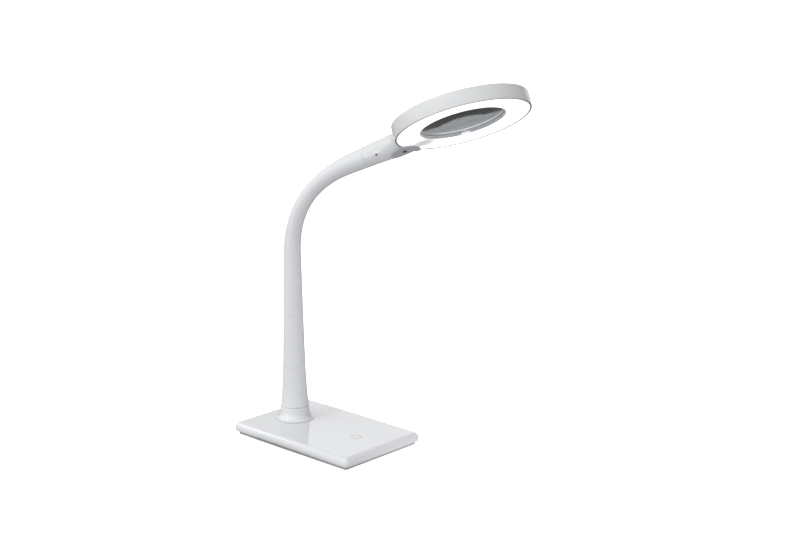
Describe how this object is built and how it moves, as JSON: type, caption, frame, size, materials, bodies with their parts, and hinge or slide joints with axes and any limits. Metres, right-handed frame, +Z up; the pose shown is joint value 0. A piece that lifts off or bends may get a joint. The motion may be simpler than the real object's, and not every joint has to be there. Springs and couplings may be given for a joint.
{
  "type": "magnifying lamp",
  "caption": "Desk magnifying lamp with a flat weighted base, a flexible arm and a ring-light head that holds a round lens under a hinged cover.",
  "frame": {"origin": "centre of the flat underside of the pad below the base", "axes": "+Z up, +X towards the front of the base where the touch button is, +Y to the left seen from behind the column"},
  "size_m": [0.3963, 0.2145, 0.5109],
  "materials": {
    "cover_white": "glossy white moulded ABS",
    "collar_white": "glossy white moulded ABS",
    "head_white": "glossy white moulded ABS",
    "lid_white": "glossy white moulded ABS",
    "sleeve_white": "satin white silicone and moulded sleeve",
    "tray_grey": "satin light grey moulded tray",
    "pad_rubber": "matt black anti-slip rubber",
    "screw_steel": "zinc-plated steel screws",
    "ballast_iron": "dark iron plate",
    "touch_grey": "printed grey ring under a clear coat",
    "board_green": "green circuit board",
    "inlet_black": "black socket",
    "tube_steel": "steel tube",
    "link_steel": "steel links",
    "diffuser_opal": "opal diffuser, lit from behind",
    "light_board": "white ring board with raised LED chips",
    "bezel_grey": "grey inner ring",
    "lens_glass": "clear polished glass",
    "clip_white": "white moulded clips",
    "bush_nylon": "natural nylon",
    "screw_dark": "blackened steel",
    "pin_steel": "bright steel pin"
  },
  "bodies": {
    "base": {"base_cover": "cover_white", "base_tray": "tray_grey", "base_pad": "pad_rubber", "ballast_plate": "ballast_iron", "base_screw_1": "screw_steel", "base_screw_2": "screw_steel", "base_screw_3": "screw_steel", "base_screw_4": "screw_steel", "touch_ring": "touch_grey", "touch_sensor": "board_green", "driver_board": "board_green", "power_inlet": "inlet_black", "column_collar": "collar_white", "column_sleeve": "sleeve_white", "column_tube": "tube_steel", "column_nut": "tube_steel", "arm_socket": "link_steel"},
    "arm_1": {"arm_link_1": "link_steel", "arm_sleeve_1": "sleeve_white"},
    "arm_2": {"arm_link_2": "link_steel", "arm_sleeve_2": "sleeve_white"},
    "arm_3": {"arm_link_3": "link_steel", "arm_sleeve_3": "sleeve_white"},
    "arm_4": {"arm_link_4": "link_steel", "arm_sleeve_4": "sleeve_white"},
    "arm_5": {"arm_link_5": "link_steel", "arm_sleeve_5": "sleeve_white"},
    "arm_6": {"arm_link_6": "link_steel", "arm_sleeve_6": "sleeve_white"},
    "arm_7": {"arm_link_7": "link_steel", "arm_sleeve_7": "sleeve_white"},
    "arm_8": {"arm_link_8": "link_steel", "arm_sleeve_8": "sleeve_white"},
    "head": {"head_housing": "head_white", "diffuser_ring": "diffuser_opal", "light_board": "light_board", "lens": "lens_glass", "lens_bezel": "bezel_grey", "lens_clip_1": "clip_white", "lens_clip_2": "clip_white", "lens_clip_3": "clip_white", "neck_tube": "head_white", "neck_cover": "head_white", "swivel_bush": "bush_nylon", "clamp_screw": "screw_dark", "cover_screw": "screw_dark", "hinge_pin": "pin_steel"},
    "lens_cover": {"lens_cover": "lid_white"}
  },
  "joints": [
    {"name": "lower_bend", "type": "hinge", "parent": "base", "child": "arm_1", "pos_m": [-0.0631, 0, 0.2423], "axis": [-0.1908, 0.9816, 0], "range_deg": [-15, 15]},
    {"name": "lower_side", "type": "hinge", "parent": "arm_1", "child": "arm_2", "pos_m": [-0.06263, 0.00009, 0.27028], "axis": [0.9787, 0.1902, -0.077], "range_deg": [-12, 12]},
    {"name": "lower_bend_2", "type": "hinge", "parent": "arm_2", "child": "arm_3", "pos_m": [-0.05788, 0.00101, 0.2978], "axis": [-0.1908, 0.9816, 0], "range_deg": [-15, 15]},
    {"name": "lower_side_2", "type": "hinge", "parent": "arm_3", "child": "arm_4", "pos_m": [-0.04743, 0.00305, 0.32362], "axis": [0.858, 0.1668, -0.4858], "range_deg": [-12, 12]},
    {"name": "upper_bend", "type": "hinge", "parent": "arm_4", "child": "arm_5", "pos_m": [-0.03145, 0.00615, 0.34632], "axis": [-0.1908, 0.9816, 0], "range_deg": [-15, 15]},
    {"name": "upper_side", "type": "hinge", "parent": "arm_5", "child": "arm_6", "pos_m": [-0.01118, 0.01009, 0.36514], "axis": [0.5921, 0.1151, -0.7976], "range_deg": [-12, 12]},
    {"name": "upper_bend_2", "type": "hinge", "parent": "arm_6", "child": "arm_7", "pos_m": [0.0119, 0.01458, 0.38028], "axis": [-0.1908, 0.9816, 0], "range_deg": [-15, 15]},
    {"name": "upper_side_2", "type": "hinge", "parent": "arm_7", "child": "arm_8", "pos_m": [0.03659, 0.01938, 0.39255], "axis": [0.3936, 0.0765, -0.9161], "range_deg": [-12, 12]},
    {"name": "head_swivel", "type": "hinge", "parent": "arm_8", "child": "head", "pos_m": [0.06189, 0.0243, 0.40346], "axis": [0.9047, 0.1759, 0.388], "range_deg": [-30, 30]},
    {"name": "cover_hinge", "type": "hinge", "parent": "head", "child": "lens_cover", "pos_m": [0.13399, 0.04107, 0.44782], "axis": [0.1066, -0.9775, 0.1818], "range_deg": [0, 110]}
  ],
  "couplings": [
    {"joint": "lower_bend_2", "follows": "lower_bend", "ratio": 1},
    {"joint": "lower_side_2", "follows": "lower_side", "ratio": 1},
    {"joint": "upper_bend_2", "follows": "upper_bend", "ratio": 1},
    {"joint": "upper_side_2", "follows": "upper_side", "ratio": 1}
  ]
}
